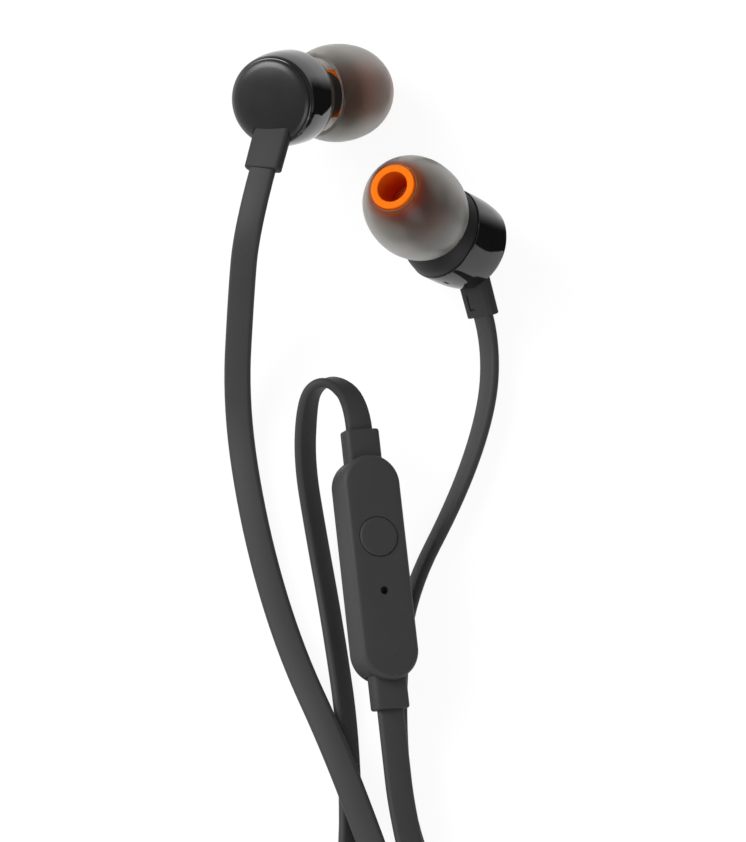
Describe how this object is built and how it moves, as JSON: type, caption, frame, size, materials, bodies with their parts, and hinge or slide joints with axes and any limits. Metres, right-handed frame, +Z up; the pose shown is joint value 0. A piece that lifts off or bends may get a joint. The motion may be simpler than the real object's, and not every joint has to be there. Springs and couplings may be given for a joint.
{
  "type": "wired in-ear earphones",
  "caption": "Wired in-ear earphones: gloss barrel earpieces, grey ear tips with orange stems, flat black cord with in-line remote, splitter, and a hank that ends in a jack plug.",
  "frame": {"origin": "bottom centre of the box round the two earpieces, on the surface that everything lies on", "axes": "+Z up from the surface, -Y from the earpieces along the cord towards the plug, +X from the left earpiece to the right one"},
  "size_m": [0.0399, 0.2162, 0.0238],
  "materials": {
    "gloss_black_plastic": "high gloss black moulding",
    "matte_black_plastic": "fine matte black moulding",
    "black_rubber": "soft matte black rubber",
    "cord_rubber": "smooth flat cord jacket, satin black",
    "grey_silicone": "thin translucent grey silicone",
    "orange_silicone": "opaque orange silicone",
    "steel_mesh": "woven steel mesh",
    "magnet_nickel": "nickel plated magnet",
    "driver_steel": "zinc plated steel",
    "basket_plastic": "grey moulding",
    "copper_coil": "enamelled copper wire",
    "membrane_film": "amber film",
    "circuit_green": "solder resist",
    "switch_steel": "stamped steel",
    "contact_gold": "gold plated contact",
    "band_black": "insulating band",
    "tie_black": "flat plastic band"
  },
  "bodies": {
    "set": {"cord_left": "cord_rubber", "cord_right_lower": "cord_rubber", "cord_right_upper": "cord_rubber", "cord_tail": "cord_rubber", "hank": "cord_rubber", "left_driver_basket": "basket_plastic", "left_driver_magnet": "magnet_nickel", "left_driver_yoke": "driver_steel", "left_front_shell": "matte_black_plastic", "left_housing": "gloss_black_plastic", "left_nozzle_mesh": "steel_mesh", "left_pole_plate": "driver_steel", "left_rear_cap": "gloss_black_plastic", "left_solder_board": "circuit_green", "left_strain_relief": "black_rubber", "plug_band_1": "band_black", "plug_band_2": "band_black", "plug_band_3": "band_black", "plug_grip": "matte_black_plastic", "plug_relief": "black_rubber", "plug_ring_1": "contact_gold", "plug_ring_2": "contact_gold", "plug_sleeve": "contact_gold", "plug_tip": "contact_gold", "remote_back": "matte_black_plastic", "remote_board": "circuit_green", "remote_front": "matte_black_plastic", "remote_lower_relief": "black_rubber", "remote_microphone": "switch_steel", "remote_switch": "switch_steel", "remote_upper_relief": "black_rubber", "right_driver_basket": "basket_plastic", "right_driver_magnet": "magnet_nickel", "right_driver_yoke": "driver_steel", "right_front_shell": "matte_black_plastic", "right_housing": "gloss_black_plastic", "right_nozzle_mesh": "steel_mesh", "right_pole_plate": "driver_steel", "right_rear_cap": "gloss_black_plastic", "right_solder_board": "circuit_green", "right_strain_relief": "black_rubber", "splitter": "black_rubber", "tie": "tie_black"},
    "button": {"remote_button": "matte_black_plastic"},
    "left_ear_tip": {"left_tip_dome": "grey_silicone", "left_tip_core": "orange_silicone"},
    "right_ear_tip": {"right_tip_dome": "grey_silicone", "right_tip_core": "orange_silicone"},
    "left_membrane": {"left_diaphragm": "membrane_film", "left_voice_coil": "copper_coil"},
    "right_membrane": {"right_diaphragm": "membrane_film", "right_voice_coil": "copper_coil"}
  },
  "joints": [
    {"name": "button_press", "type": "slide", "parent": "set", "child": "button", "axis": [-0.3402, 0.0553, -0.9387], "range_m": [0, 0.0003], "stiffness_N_per_m": 1500},
    {"name": "left_tip_pull", "type": "slide", "parent": "set", "child": "left_ear_tip", "axis": [0.6623, 0.3035, -0.685], "range_m": [0, 0.008]},
    {"name": "right_tip_pull", "type": "slide", "parent": "set", "child": "right_ear_tip", "axis": [-0.4006, 0.0815, 0.9126], "range_m": [0, 0.008]},
    {"name": "left_membrane_swing", "type": "slide", "parent": "set", "child": "left_membrane", "axis": [0.3862, 0.3885, -0.8366], "range_m": [-0.00015, 0.00015], "stiffness_N_per_m": 100},
    {"name": "right_membrane_swing", "type": "slide", "parent": "set", "child": "right_membrane", "axis": [-0.6723, 0.1022, 0.7332], "range_m": [-0.00015, 0.00015], "stiffness_N_per_m": 100}
  ]
}
